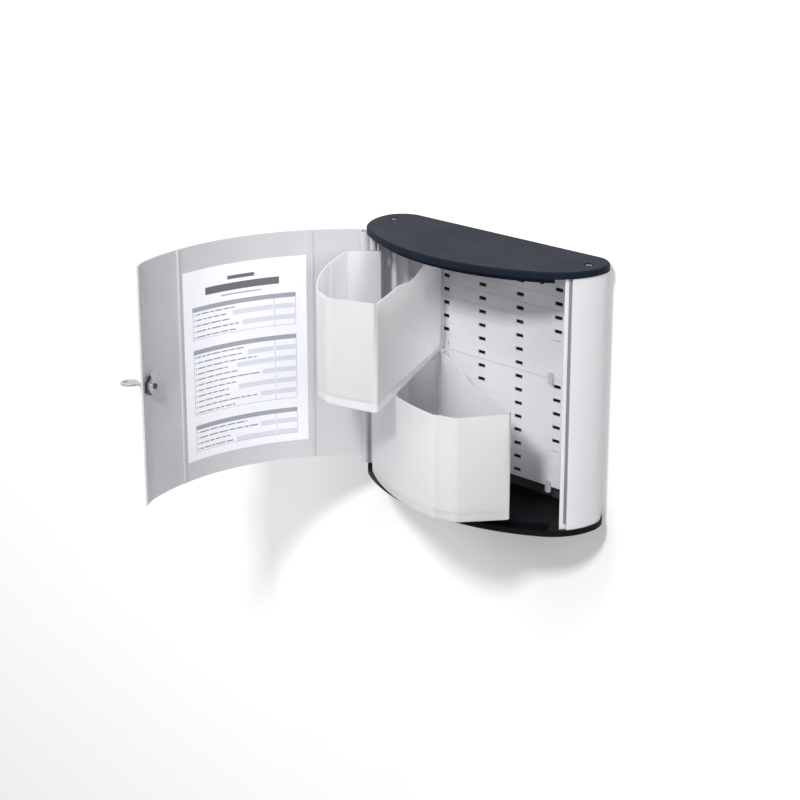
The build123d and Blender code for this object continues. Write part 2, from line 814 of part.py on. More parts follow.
def main():
    os.makedirs("parts", exist_ok=True)

    top_cap = make_top_cap()
    bottom_cap = mirror(top_cap, about=Plane.XY)
    x, y = bumper_place()
    socket_end = body_half + bumper_stem_length + fit
    top_cap -= upright(x, y, bumper_stem_radius + fit, body_half - overlap, socket_end)
    write("top_cap", top_cap)
    write("bottom_cap", bottom_cap)
    write("cap_screws", make_cap_screws())
    write("right_side_profile", drilled_for_rivets(make_right_side_profile()))
    write("left_side_profile", drilled_for_rivets(make_left_side_profile()))
    write("back_plate", make_back_plate())
    write("back_plate_rivets", make_rivets())
    upper_panel = make_upper_slot_panel()
    write("upper_slot_panel", upper_panel)
    write("lower_slot_panel", make_lower_slot_panel(upper_panel))
    write("panel_clips", make_panel_clips())
    write("door_bumper", make_bumper())
    write("door_seal", make_door_seal())
    write("hinge_pins", make_hinge_pins())

    write("door_leaf", opened_door(make_door_leaf()))
    write("hinge_bushes", [opened_door(bush) for bush in make_hinge_bushes()])
    write("document_rails", [opened_door(rail) for rail in make_document_rails()])
    write("document_film", opened_door(make_document_film()))
    write("contents_sheet", opened_door(make_contents_sheet()))
    write("lock_housing", opened_door(make_lock_housing()))
    write("lock_nut", opened_door(make_lock_nut()))
    write("lock_plug", opened_door(make_lock_plug()))
    write("lock_cam", opened_door(make_lock_cam()))
    write("cam_screw", opened_door(make_cam_screw()))
    write("key", opened_door(make_key()))

    walls = make_bin_walls()
    base = make_bin_base()
    for name, top, angle in (
        ("upper", bin_hinge_top, upper_bin_angle),
        ("lower", -bin_split, lower_bin_angle),
    ):
        write(name + "_bin_walls", swung_bin(walls, top, angle))
        write(name + "_bin_base", swung_bin(base, top, angle))
    write("bin_hinge_rod", make_bin_rod())
    write("bin_hinge_clips", make_bin_clips())
    print("hinge axis", round(hinge_x, 3), round(hinge_y, 3))


main()
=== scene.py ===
import json
import logging
import math
import random
from collections.abc import Iterable, Iterator, Sequence
from dataclasses import dataclass, field
from enum import Enum

import bmesh
import bpy
from mathutils import Matrix, Vector


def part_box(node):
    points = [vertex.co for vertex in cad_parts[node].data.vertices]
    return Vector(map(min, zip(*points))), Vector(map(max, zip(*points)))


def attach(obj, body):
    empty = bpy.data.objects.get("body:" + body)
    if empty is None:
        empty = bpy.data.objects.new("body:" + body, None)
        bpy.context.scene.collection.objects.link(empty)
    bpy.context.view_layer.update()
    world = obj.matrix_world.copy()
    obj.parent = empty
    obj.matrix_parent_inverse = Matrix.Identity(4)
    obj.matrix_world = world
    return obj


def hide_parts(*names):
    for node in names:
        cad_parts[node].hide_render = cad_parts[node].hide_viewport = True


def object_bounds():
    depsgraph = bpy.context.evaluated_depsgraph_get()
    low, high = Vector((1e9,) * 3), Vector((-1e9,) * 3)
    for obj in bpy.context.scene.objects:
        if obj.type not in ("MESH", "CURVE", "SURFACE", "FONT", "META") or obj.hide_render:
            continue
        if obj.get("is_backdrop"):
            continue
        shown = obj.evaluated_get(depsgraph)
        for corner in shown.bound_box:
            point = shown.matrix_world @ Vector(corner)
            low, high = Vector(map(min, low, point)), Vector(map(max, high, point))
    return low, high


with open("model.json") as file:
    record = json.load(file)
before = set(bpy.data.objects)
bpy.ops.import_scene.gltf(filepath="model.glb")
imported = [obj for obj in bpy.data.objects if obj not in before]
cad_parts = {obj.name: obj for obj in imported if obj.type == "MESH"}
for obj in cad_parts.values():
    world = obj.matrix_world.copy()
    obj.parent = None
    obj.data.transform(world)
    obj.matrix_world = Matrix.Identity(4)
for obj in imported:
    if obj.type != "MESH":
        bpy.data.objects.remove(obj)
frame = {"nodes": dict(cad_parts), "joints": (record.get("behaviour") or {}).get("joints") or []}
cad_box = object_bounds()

# Looks of a wall cabinet for first aid supplies.
# Lengths are in metres where a docstring names no other unit.

log = logging.getLogger("cabinet")
MM = 0.001
NODES = frame["nodes"]
JOINTS = {joint["name"]: joint for joint in frame["joints"]}
Colour = tuple[float, float, float]
Place = tuple[float, float, float]


class Body(Enum):
    """The bodies that the new pieces ride on."""

    CABINET = "cabinet"
    DOOR = "door"
    UPPER_BIN = "upper_bin"
    LOWER_BIN = "lower_bin"


# Shader graphs

# Most of a noise pattern's values lie between these two.
NOISE_LOW = 0.3
NOISE_HIGH = 0.7


@dataclass
class Graph:
    """Adds and joins nodes in one node tree.

    Args:
        tree: the node tree that the nodes go into.
    """

    tree: bpy.types.NodeTree

    def add(self, kind: str, inputs: dict | None = None, **settings: object) -> bpy.types.Node:
        """Add a node, set its properties, and set or link its inputs.

        Args:
            kind: the node's class name, without its ShaderNode start.
            inputs: values or output sockets by input name or index.
            settings: properties of the node.

        Returns:
            The new node.
        """
        made = self.tree.nodes.new("ShaderNode" + kind)
        for name, value in settings.items():
            setattr(made, name, value)
        for name, value in (inputs or {}).items():
            socket = made.inputs[name]
            if isinstance(value, bpy.types.NodeSocket):
                self.tree.links.new(value, socket)
            elif isinstance(value, tuple) and len(value) == 3 and socket.type == "RGBA":
                socket.default_value = (*value, 1.0)
            else:
                socket.default_value = value
        return made

    def math(self, operation: str, *values: object) -> bpy.types.NodeSocket:
        """Add a Math node and return its output."""
        return self.add("Math", dict(enumerate(values)), operation=operation).outputs["Value"]

    def blend(self, factor: object, first: object, second: object) -> bpy.types.NodeSocket:
        """Blend two colours by a factor and return the colour."""
        made = self.add("Mix", data_type="RGBA", inputs={"Factor": factor, "A": first, "B": second})
        return made.outputs["Result"]

    def between(self, mask: object, low: object, high: object) -> bpy.types.NodeSocket:
        """Map a mask of 0 to 1 onto low to high and return the value."""
        return self.add("MapRange", {"Value": mask, "To Min": low, "To Max": high}).outputs["Result"]

    def noise(self, place: bpy.types.NodeSocket, scale: object, detail: float) -> bpy.types.NodeSocket:
        """Add a noise pattern and return its value."""
        return self.add("TexNoise", {"Vector": place, "Scale": scale, "Detail": detail}).outputs["Fac"]

    def stretched(self, noise: bpy.types.NodeSocket) -> bpy.types.NodeSocket:
        """Stretch a noise pattern to a mask of 0 to 1 and return it."""
        made = self.add("MapRange", {"Value": noise, "From Min": NOISE_LOW, "From Max": NOISE_HIGH})
        return made.outputs["Result"]

    def place(self) -> bpy.types.NodeSocket:
        """Return the place on the piece."""
        return self.add("TexCoord").outputs["Object"]

    def upright(self, place: bpy.types.NodeSocket, squeeze: float) -> bpy.types.NodeSocket:
        """Squeeze the height of a place, so that patterns run long and upright, and return it."""
        return self.add("Mapping", {"Vector": place, "Scale": (1.0, 1.0, squeeze)}).outputs["Vector"]

    def shown_rays(self) -> bpy.types.NodeSocket:
        """Tell rays from the camera, from reflections and through clear pieces from all others.

        Returns:
            A mask of 1 for those rays and 0 for the others.
        """
        path = self.add("LightPath")
        seen = self.math("MAXIMUM", path.outputs["Is Camera Ray"], path.outputs["Is Glossy Ray"])
        return self.math("MAXIMUM", seen, path.outputs["Is Transmission Ray"])


@dataclass
class Group(Graph):
    """A shader group with named inputs and outputs.

    Args:
        tree: the group's node tree.
        entry: its input node.
        leave: its output node.
    """

    entry: bpy.types.Node
    leave: bpy.types.Node

    def given(self, label: str) -> bpy.types.NodeSocket:
        """Return what an input of the group is given."""
        return self.entry.outputs[label]

    def put_out(self, label: str, value: bpy.types.NodeSocket) -> None:
        """Send a value to an output of the group."""
        self.tree.links.new(value, self.leave.inputs[label])

    def put_out_relief(self, height: bpy.types.NodeSocket) -> None:
        """Send the normal of a relief to the group's output.

        Args:
            height: the height of the surface.
        """
        inputs = {"Height": height, "Strength": self.given("Strength"), "Distance": self.given("Depth")}
        self.put_out("Normal", self.add("Bump", inputs).outputs["Normal"])


def new_group(name: str, inputs: dict[str, object], outputs: dict[str, str]) -> Group:
    """Make an empty shader group with named sockets.

    Args:
        name: the group's name.
        inputs: default values by input name; three numbers make a colour.
        outputs: socket classes by output name.

    Returns:
        The group.
    """
    tree = bpy.data.node_groups.new(name, "ShaderNodeTree")
    for label, value in inputs.items():
        kind = "NodeSocketColor" if isinstance(value, tuple) else "NodeSocketFloat"
        socket = tree.interface.new_socket(name=label, in_out="INPUT", socket_type=kind)
        socket.default_value = (*value, 1.0) if isinstance(value, tuple) else value
    for label, kind in outputs.items():
        tree.interface.new_socket(name=label, in_out="OUTPUT", socket_type=kind)
    return Group(tree, tree.nodes.new("NodeGroupInput"), tree.nodes.new("NodeGroupOutput"))


def relief_group(name: str, scale: float, strength: float, depth: float) -> Group:
    """Make an empty shader group that puts out a normal.

    Args:
        name: the group's name.
        scale: how fine its pattern is by default.
        strength: how strong its relief is by default.
        depth: depth of the relief by default.

    Returns:
        The group.
    """
    inputs = {"Scale": scale, "Strength": strength, "Depth": depth}
    return new_group(name, inputs, {"Normal": "NodeSocketVector"})


def mottle_group() -> bpy.types.NodeTree:
    """Make two colours and two roughnesses that drift into each other in soft patches.

    Returns:
        The group's node tree.
    """
    group = new_group(
        "SoftMottle",
        {"Light": (0.8, 0.8, 0.8), "Dark": (0.7, 0.7, 0.7), "Scale": 20.0, "Smooth": 0.3, "Rough": 0.5},
        {"Colour": "NodeSocketColor", "Roughness": "NodeSocketFloat"},
    )
    mask = group.stretched(group.noise(group.place(), group.given("Scale"), detail=4.0))
    group.put_out("Colour", group.blend(mask, group.given("Dark"), group.given("Light")))
    group.put_out("Roughness", group.between(mask, group.given("Smooth"), group.given("Rough")))
    return group.tree


def grain_group() -> bpy.types.NodeTree:
    """Make fine moulded grain as a normal.

    Returns:
        The group's node tree.
    """
    group = relief_group("MouldedGrain", scale=1800.0, strength=0.2, depth=0.00008)
    group.put_out_relief(group.noise(group.place(), group.given("Scale"), detail=3.0))
    return group.tree


def drawn_group() -> bpy.types.NodeTree:
    """Make the long upright lines left by an extrusion die, as a normal.

    Returns:
        The group's node tree.
    """
    group = relief_group("DrawnLines", scale=900.0, strength=0.1, depth=0.00005)
    place = group.upright(group.place(), squeeze=0.006)
    lines = group.noise(place, group.given("Scale"), detail=5.0)
    group.put_out_relief(group.stretched(lines))
    return group.tree


def slack_group() -> bpy.types.NodeTree:
    """Make the soft upright folds of a warm-formed sheet, with a little fine grain, as a normal.

    Returns:
        The group's node tree.
    """
    group = relief_group("SlackSheet", scale=26.0, strength=0.3, depth=0.004)
    place = group.place()
    broad = group.noise(group.upright(place, squeeze=0.35), group.given("Scale"), detail=1.5)
    fine = group.noise(place, scale=1500.0, detail=2.0)
    grain_share = 0.01
    group.put_out_relief(group.math("MULTIPLY_ADD", fine, grain_share, broad))
    return group.tree


@dataclass
class Effects:
    """The shared node groups, made once.

    Args:
        mottle: soft patches of colour and roughness.
        grain: fine moulded grain.
        drawn: long upright lines.
        slack: soft upright folds.
    """

    mottle: bpy.types.NodeTree = field(default_factory=mottle_group)
    grain: bpy.types.NodeTree = field(default_factory=grain_group)
    drawn: bpy.types.NodeTree = field(default_factory=drawn_group)
    slack: bpy.types.NodeTree = field(default_factory=slack_group)


@dataclass(frozen=True)
class Finish:
    """How one kind of surface looks.

    Args:
        light: the lighter of its two colours.
        dark: the darker one.
        smooth: its lowest roughness.
        rough: its highest roughness.
        patch: how many colour patches there are in a metre.
        grain: strength of the fine grain.
        grain_scale: how fine the grain is.
        drawn: strength of the long upright lines, which take the place of grain.
        folds: strength of the soft upright folds, which take the place of grain.
        shader: plain values for the shader's own sockets.
    """

    light: Colour
    dark: Colour
    smooth: float
    rough: float
    patch: float = 14.0
    grain: float = 0.15
    grain_scale: float = 1800.0
    drawn: float = 0.0
    folds: float = 0.0
    shader: tuple[tuple[str, object], ...] = ()

    def build(self, name: str, effects: Effects) -> bpy.types.Material:
        """Make the material.

        Args:
            name: the material's name.
            effects: the shared node groups.

        Returns:
            The material.
        """
        material = bpy.data.materials.new(name)
        material.use_nodes = True
        graph = Graph(material.node_tree)
        links = material.node_tree.links
        surface = material.node_tree.nodes["Principled BSDF"]
        colours = {"Light": self.light, "Dark": self.dark}
        values = {"Scale": self.patch, "Smooth": self.smooth, "Rough": self.rough}
        mottle = graph.add("Group", node_tree=effects.mottle, inputs=colours | values)
        links.new(mottle.outputs["Colour"], surface.inputs["Base Color"])
        links.new(mottle.outputs["Roughness"], surface.inputs["Roughness"])
        relief = self.relief(graph, effects)
        if relief is not None:
            links.new(relief.outputs["Normal"], surface.inputs["Normal"])
        for label, value in self.shader:
            surface.inputs[label].default_value = value
        return material

    def relief(self, graph: Graph, effects: Effects) -> bpy.types.Node | None:
        """Add the relief of the surface: drawn lines, folds or grain.

        Args:
            graph: the material's graph.
            effects: the shared node groups.

        Returns:
            The relief's node, or nothing for a surface without any.
        """
        if self.drawn:
            return graph.add("Group", node_tree=effects.drawn, inputs={"Strength": self.drawn})
        if self.folds:
            return graph.add("Group", node_tree=effects.slack, inputs={"Strength": self.folds})
        if self.grain:
            inputs = {"Strength": self.grain, "Scale": self.grain_scale}
            return graph.add("Group", node_tree=effects.grain, inputs=inputs)
        return None


METAL = (("Metallic", 1.0),)
SATIN = (("Metallic", 0.25), ("Specular IOR Level", 0.4))
DULL = (("Specular IOR Level", 0.05),)
MILKY = (
    ("Subsurface Weight", 0.9),
    ("Subsurface Radius", (1.0, 1.0, 1.0)),
    ("Subsurface Scale", 0.014),
    ("Specular IOR Level", 0.3),
)
FILM = (("Alpha", 0.05), ("IOR", 1.45))
CLEAR_MOULDING = (("Alpha", 0.62), ("IOR", 1.46))

FINISHES: dict[str, Finish] = {
    "cap_moulding": Finish(
        (0.0092, 0.0130, 0.0225), (0.0072, 0.0102, 0.0180),
        smooth=0.46, rough=0.54, grain=0.35, shader=DULL,
    ),
    # The bottom cap's plastic is the top cap's plastic darkened with painted shade, since the bottom
    # cap lies in shade.
    "cap_moulding_painted_shade": Finish(
        (0.0034, 0.0042, 0.0056), (0.0024, 0.0030, 0.0042),
        smooth=0.40, rough=0.50, grain=0.35, shader=DULL,
    ),
    "side_extrusion": Finish(
        (0.70, 0.70, 0.725), (0.67, 0.67, 0.695),
        smooth=0.34, rough=0.42, drawn=0.12, shader=SATIN,
    ),
    "leaf_extrusion": Finish(
        (0.60, 0.60, 0.63), (0.56, 0.56, 0.59),
        smooth=0.38, rough=0.48, drawn=0.10, shader=SATIN,
    ),
    # The back plate is near black with painted shade, so that the slots look as dark as the shade
    # behind the panels.
    "plate_painted_shade": Finish(
        (0.050, 0.051, 0.054), (0.038, 0.039, 0.042),
        smooth=0.45, rough=0.55,
    ),
    "panel_moulding": Finish(
        (0.76, 0.76, 0.79), (0.72, 0.72, 0.75),
        smooth=0.34, rough=0.44, grain=0.08,
    ),
    # Painted shade: the dark colour of the scored ticks stands in for the shade in their scores.
    "score_painted_shade": Finish(
        (0.22, 0.22, 0.23), (0.15, 0.15, 0.16),
        smooth=0.50, rough=0.60,
    ),
    "bin_sheet": Finish(
        (0.965, 0.965, 0.995), (0.945, 0.945, 0.980),
        smooth=0.40, rough=0.50, folds=0.35, shader=MILKY,
    ),
    "rail_moulding": Finish(
        (0.60, 0.60, 0.63), (0.54, 0.54, 0.57),
        smooth=0.35, rough=0.45, grain=0.08,
    ),
    "black_rubber": Finish(
        (0.012, 0.012, 0.013), (0.008, 0.008, 0.009),
        smooth=0.60, rough=0.75, grain=0.5, shader=DULL,
    ),
    "grey_rubber": Finish(
        (0.20, 0.21, 0.23), (0.16, 0.17, 0.18),
        smooth=0.55, rough=0.70, grain=0.4,
    ),
    "bright_steel": Finish(
        (0.70, 0.71, 0.72), (0.58, 0.59, 0.60),
        smooth=0.22, rough=0.34, patch=300.0, shader=METAL,
    ),
    "lock_chrome": Finish(
        (0.56, 0.57, 0.58), (0.48, 0.49, 0.50),
        smooth=0.20, rough=0.30, patch=200.0, grain=0.03, shader=METAL,
    ),
    "dark_steel": Finish(
        (0.026, 0.027, 0.030), (0.015, 0.016, 0.018),
        smooth=0.25, rough=0.40, patch=300.0,
    ),
    "key_nickel": Finish(
        (0.47, 0.46, 0.44), (0.38, 0.37, 0.35),
        smooth=0.26, rough=0.38, patch=250.0, grain=0.03, shader=METAL,
    ),
    "page_paper": Finish(
        (0.95, 0.955, 1.0), (0.93, 0.935, 0.99),
        smooth=0.70, rough=0.80, grain=0.12, grain_scale=2600.0,
    ),
    "page_title": Finish(
        (0.07, 0.07, 0.09), (0.05, 0.05, 0.07),
        smooth=0.60, rough=0.70,
    ),
    "page_ink": Finish(
        (0.24, 0.24, 0.29), (0.19, 0.19, 0.24),
        smooth=0.60, rough=0.70,
    ),
    "page_band": Finish(
        (0.72, 0.73, 0.82), (0.70, 0.71, 0.80),
        smooth=0.60, rough=0.70,
    ),
    "page_tint": Finish(
        (0.34, 0.35, 0.40), (0.30, 0.31, 0.36),
        smooth=0.60, rough=0.70,
    ),
    "clear_film": Finish(
        (0.97, 0.97, 0.98), (0.93, 0.94, 0.95),
        smooth=0.08, rough=0.16, grain=0.0, shader=FILM,
    ),
    "clear_clip": Finish(
        (0.80, 0.80, 0.81), (0.72, 0.72, 0.74),
        smooth=0.10, rough=0.20, grain=0.0, shader=CLEAR_MOULDING,
    ),
}

NODE_FINISHES: dict[str, str] = {
    "top_cap": "cap_moulding",
    # The bottom cap takes the top cap's plastic darkened with painted shade.
    "bottom_cap": "cap_moulding_painted_shade",
    "cap_screws": "bright_steel",
    "left_side_profile": "side_extrusion",
    "right_side_profile": "side_extrusion",
    # Painted shade: the back plate is darkened so that the slots look dark.
    "back_plate": "plate_painted_shade",
    "back_plate_rivets": "bright_steel",
    "upper_slot_panel": "panel_moulding",
    "lower_slot_panel": "panel_moulding",
    "panel_clips": "clear_clip",
    "door_bumper": "black_rubber",
    "door_seal": "grey_rubber",
    "hinge_pins": "bright_steel",
    "bin_hinge_rod": "bright_steel",
    "bin_hinge_clips": "panel_moulding",
    "door_leaf": "leaf_extrusion",
    "hinge_bushes": "rail_moulding",
    "document_rails": "rail_moulding",
    "document_film": "clear_film",
    "contents_sheet": "page_paper",
    "lock_housing": "lock_chrome",
    "lock_nut": "dark_steel",
    "lock_plug": "lock_chrome",
    "lock_cam": "bright_steel",
    "cam_screw": "dark_steel",
    "key": "key_nickel",
    "upper_bin_walls": "bin_sheet",
    "upper_bin_base": "bin_sheet",
    "lower_bin_walls": "bin_sheet",
    "lower_bin_base": "bin_sheet",
}


@dataclass
class Paint:
    """The finishes as materials, made when first asked for.

    Args:
        effects: the shared node groups.
        made: the materials made so far, by finish.
    """

    effects: Effects = field(default_factory=Effects)
    made: dict[str, bpy.types.Material] = field(default_factory=dict)

    def get(self, name: str) -> bpy.types.Material:
        """Return the material of a finish.

        Args:
            name: the finish's name in FINISHES.

        Returns:
            The material.
        """
        if name not in self.made:
            self.made[name] = FINISHES[name].build(name, self.effects)
        return self.made[name]

    def dress_frame(self) -> None:
        """Give every node of the frame its finish."""
        for node, finish in NODE_FINISHES.items():
            mesh = NODES[node].data
            mesh.materials.clear()
            mesh.materials.append(self.get(finish))
            log.info("dressed %s as %s", node, finish)


# Meshes


def clear_selection() -> None:
    """Leave edit mode and deselect everything."""
    if bpy.context.object and bpy.context.object.mode != "OBJECT":
        bpy.ops.object.mode_set(mode="OBJECT")
    bpy.ops.object.select_all(action="DESELECT")


def add_blocks(blocks: Iterable[tuple[Place, Place]]) -> None:
    """Add flat blocks as one new mesh, left in edit mode with all of it selected.

    Args:
        blocks: the place and the size of each block.
    """
    clear_selection()
    for number, (place, size) in enumerate(blocks):
        bpy.ops.mesh.primitive_cube_add(size=1.0, location=place, scale=size)
        if number == 0:
            bpy.ops.object.transform_apply(location=True, rotation=True, scale=True)
            bpy.ops.object.mode_set(mode="EDIT")
    bpy.ops.mesh.select_all(action="SELECT")


def finish_piece(piece: bpy.types.Object, name: str, body: Body) -> bpy.types.Object:
    """Name a piece, put its place into its mesh and make it ride.

    Args:
        piece: the new object.
        name: its name.
        body: the body that it rides on.

    Returns:
        The piece.
    """
    piece.name = name
    piece.data.name = name
    piece.data.transform(piece.matrix_world)
    piece.matrix_world = Matrix.Identity(4)
    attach(piece, body.value)
    log.info("made %s: %d faces", name, len(piece.data.polygons))
    return piece


@dataclass(frozen=True)
class LeafCurve:
    """Where things lie on the open door, in millimetres from the cap's outline.

    Args:
        cabinet_width: width of the cap.
        cap_depth: depth of the cap.
        back_corner_radius: radius of the cap's back corners.
        shoulder_radius: radius of the cap's shoulders, where its sides run into the bowed front.
        jamb_angle: how far round its shoulder the jamb beside the free edge reaches, in degrees.
        finger_gap: gap between the jamb and the shut leaf's free edge.
        shell_inset: how far the leaf's outer face lies inside the cap's outline.
        leaf_thickness: thickness of the leaf.
    """

    cabinet_width: float = 302.0
    cap_depth: float = 116.5
    back_corner_radius: float = 28.5
    shoulder_radius: float = 63.0
    jamb_angle: float = 33.5
    finger_gap: float = 2.7
    shell_inset: float = 1.5
    leaf_thickness: float = 2.0

    @property
    def shoulder_x(self) -> float:
        """Distance of a shoulder's centre from the middle."""
        return self.cabinet_width / 2 - self.shoulder_radius

    @property
    def front_reach(self) -> float:
        """Depth of the cap in front of the shoulder's radius."""
        return self.cap_depth - self.shoulder_radius

    @property
    def bow_centre(self) -> float:
        """Y of the bowed front's centre."""
        top = self.shoulder_x**2 + self.back_corner_radius**2 - self.front_reach**2
        return top / (2 * (self.front_reach - self.back_corner_radius))

    @property
    def bow_radius(self) -> float:
        """Radius of the bowed front."""
        return self.bow_centre + self.cap_depth

    @property
    def tangent_angle(self) -> float:
        """Angle at which a shoulder runs into the bow, in radians."""
        return math.atan2(self.bow_centre + self.back_corner_radius, self.shoulder_x)

    def point(self, distance: float, inset: float, height: float) -> Vector:
        """A point of the open leaf, by its distance from the free edge.

        Args:
            distance: millimetres along the leaf from its free edge.
            inset: millimetres inside the cap's outline.
            height: millimetres above the middle.

        Returns:
            The point at rest, in metres.
        """
        gap_angle = self.finger_gap / (self.shoulder_radius - self.shell_inset)
        end = math.radians(self.jamb_angle) + gap_angle
        inner = self.shell_inset + self.leaf_thickness
        run = (self.tangent_angle - end) * (self.shoulder_radius - inner)
        angle = -self.tangent_angle - (distance - run) / (self.bow_radius - inner)
        reach = self.bow_radius - inset
        shut = Vector((reach * math.cos(angle), self.bow_centre + reach * math.sin(angle), height)) * MM
        hinge = Vector(JOINTS["door_swing"]["pos_m"])
        swing = Matrix.Rotation(-math.radians(JOINTS["door_swing"]["range_deg"][1]), 4, "Z")
        return hinge + swing @ (shut - hinge)


class Ink(Enum):
    """The inks of the page, by finish."""

    TITLE = "page_title"
    TEXT = "page_ink"
    RULE = "page_tint"
    BAND = "page_band"


PRINT_LAYERS: dict[Ink, str] = {
    Ink.TITLE: "page_title_bars",
    Ink.TEXT: "page_text_bars",
    Ink.RULE: "page_ruled_lines",
    Ink.BAND: "page_row_bands",
}


@dataclass(frozen=True)
class Bar:
    """A printed bar on the flat page, in millimetres.

    Args:
        left: its left end, from the page's left edge.
        right: its right end.
        low: its lower edge, from the page's top.
        high: its upper edge.
        ink: its ink.
    """

    left: float
    right: float
    low: float
    high: float
    ink: Ink


PAGE_HEAD = (
    Bar(58.0, 90.0, -17.0, -13.0, Ink.TITLE),
    Bar(30.0, 118.0, -29.0, -21.0, Ink.TITLE),
    Bar(50.0, 98.0, -34.0, -32.6, Ink.RULE),
)


@dataclass
class ContentsPrint:
    """The page's printing: plain bars, ruled lines and rows of short grey dashes.

    All sizes are millimetres on the flat page. Widths count to the right from its left edge, and
    heights upwards from its top, so that all heights on the page are below 0.

    Args:
        curve: the open leaf that the page lies on.
        page_start: distance of the page from the leaf's free edge.
        page_width: width of the page.
        page_top: height of the page's top above the cabinet's middle.
        page_inset: how far the page's face lies inside the cap's outline.
        ink_depth: thickness of the ink.
        margin: from the page's edges to the tables.
        quantity_width: width of the tables' last column.
        table_top: top of the first table, from the page's top.
        table_rows: rows of each table.
        table_gap: gap between tables.
        header_height: height of the bar on top of a table.
        row_pitch: height of a row.
        rule: width of a ruled line.
        mark_span: left and right end of a row's mark, from the table's edge.
        mark_rise: lower and upper edge of a row's mark, from its line.
        text_start: start of a row's words, from the table's edge.
        text_end: least and greatest end of a row's words, from the table's edge.
        text_rise: lower and upper edge of a row's words, from its line.
        word_length: least and greatest length of a word.
        word_gap: gap between words.
        band_edge: gap between a row's band and the edges of its column.
        band_gap: gap between a row's words and its band.
        slice_width: width of the slices that bend with the leaf.
        seed: start of the random lengths.
    """

    curve: LeafCurve
    page_start: float = 78.0
    page_width: float = 148.0
    page_top: float = 104.0
    page_inset: float = 3.85
    ink_depth: float = 0.04
    margin: float = 12.0
    quantity_width: float = 24.0
    table_top: float = -40.0
    table_rows: tuple[int, ...] = (5, 11, 4)
    table_gap: float = 11.0
    header_height: float = 5.0
    row_pitch: float = 6.2
    rule: float = 0.4
    mark_span: tuple[float, float] = (2.0, 3.2)
    mark_rise: tuple[float, float] = (2.1, 3.9)
    text_start: float = 5.0
    text_end: tuple[float, float] = (42.0, 84.0)
    text_rise: tuple[float, float] = (2.3, 3.6)
    word_length: tuple[float, float] = (4.0, 13.0)
    word_gap: float = 1.6
    band_edge: float = 1.0
    band_gap: float = 2.0
    slice_width: float = 5.0
    seed: int = 7

    @property
    def right(self) -> float:
        """Right edge of the tables."""
        return self.page_width - self.margin

    @property
    def quantity(self) -> float:
        """Left edge of the tables' last column."""
        return self.right - self.quantity_width

    def bars(self) -> Iterator[Bar]:
        """Lay out the page's head and its tables.

        Returns:
            The bars, from the page's top down.
        """
        chance = random.Random(self.seed)
        yield from PAGE_HEAD
        top = self.table_top
        for rows in self.table_rows:
            first_line = top - self.header_height
            low = first_line - rows * self.row_pitch
            yield from self.table_lines(low, top)
            for index in range(1, rows + 1):
                yield from self.row(first_line - index * self.row_pitch, index % 2 == 0, chance)
            top = low - self.table_gap

    def table_lines(self, low: float, top: float) -> Iterator[Bar]:
        """Lay out a table's header and the lines around it.

        Args:
            low: the table's lower edge.
            top: its upper edge.

        Returns:
            The bars.
        """
        yield Bar(self.margin, self.right, top - self.header_height, top, Ink.RULE)
        yield Bar(self.margin, self.right, low, low + self.rule, Ink.RULE)
        for edge in (self.margin, self.quantity, self.right - self.rule):
            yield Bar(edge, edge + self.rule, low, top, Ink.RULE)

    def row(self, line: float, banded: bool, chance: random.Random) -> Iterator[Bar]:
        """Lay out a row: its mark, its words and, in a banded row, its band.

        Args:
            line: the row's lower edge.
            banded: whether the row has a band.
            chance: where the words' lengths come from.

        Returns:
            The bars.
        """
        left = self.margin
        mark_left, mark_right = self.mark_span
        mark_low, mark_high = self.mark_rise
        yield Bar(left + mark_left, left + mark_right, line + mark_low, line + mark_high, Ink.TEXT)
        text_low, text_high = self.text_rise
        cursor = left + self.text_start
        stop = left + chance.uniform(*self.text_end)
        while cursor < stop:
            word = chance.uniform(*self.word_length)
            yield Bar(cursor, min(cursor + word, stop), line + text_low, line + text_high, Ink.TEXT)
            cursor += word + self.word_gap
        if banded:
            low = line + self.rule
            high = line + self.row_pitch - self.rule
            text_right = max(cursor, stop)
            yield Bar(self.quantity + self.band_edge, self.right - self.band_edge, low, high, Ink.BAND)
            yield Bar(text_right + self.band_gap, self.quantity - self.band_edge, low, high, Ink.BAND)

    def build(self, paint: Paint) -> list[bpy.types.Object]:
        """Model the printing as thin layers of ink on the page.

        Args:
            paint: the finishes.

        Returns:
            A layer for each ink.
        """
        bars = tuple(self.bars())
        layers = []
        for ink, name in PRINT_LAYERS.items():
            layer = self.layer([bar for bar in bars if bar.ink is ink])
            layer.data.materials.append(paint.get(ink.value))
            layers.append(finish_piece(layer, name, Body.DOOR))
        return layers

    def layer(self, bars: Sequence[Bar]) -> bpy.types.Object:
        """Model flat bars as thin blocks, slice them and bend them onto the page.

        Args:
            bars: the bars of one ink.

        Returns:
            The layer.
        """
        thin = self.ink_depth
        places = [((bar.left + bar.right) / 2, -thin / 2, (bar.low + bar.high) / 2) for bar in bars]
        sizes = [(bar.right - bar.left, thin, bar.high - bar.low) for bar in bars]
        add_blocks(zip(places, sizes))
        for cut in range(1, int(self.page_width / self.slice_width)):
            bpy.ops.mesh.bisect(plane_co=(cut * self.slice_width, 0, 0), plane_no=(1, 0, 0))
            bpy.ops.mesh.select_all(action="SELECT")
        bpy.ops.object.mode_set(mode="OBJECT")
        piece = bpy.context.object
        for vertex in piece.data.vertices:
            x, y, z = vertex.co
            vertex.co = self.curve.point(self.page_start + x, self.page_inset - y, self.page_top + z)
        piece.matrix_world = Matrix.Identity(4)
        return piece


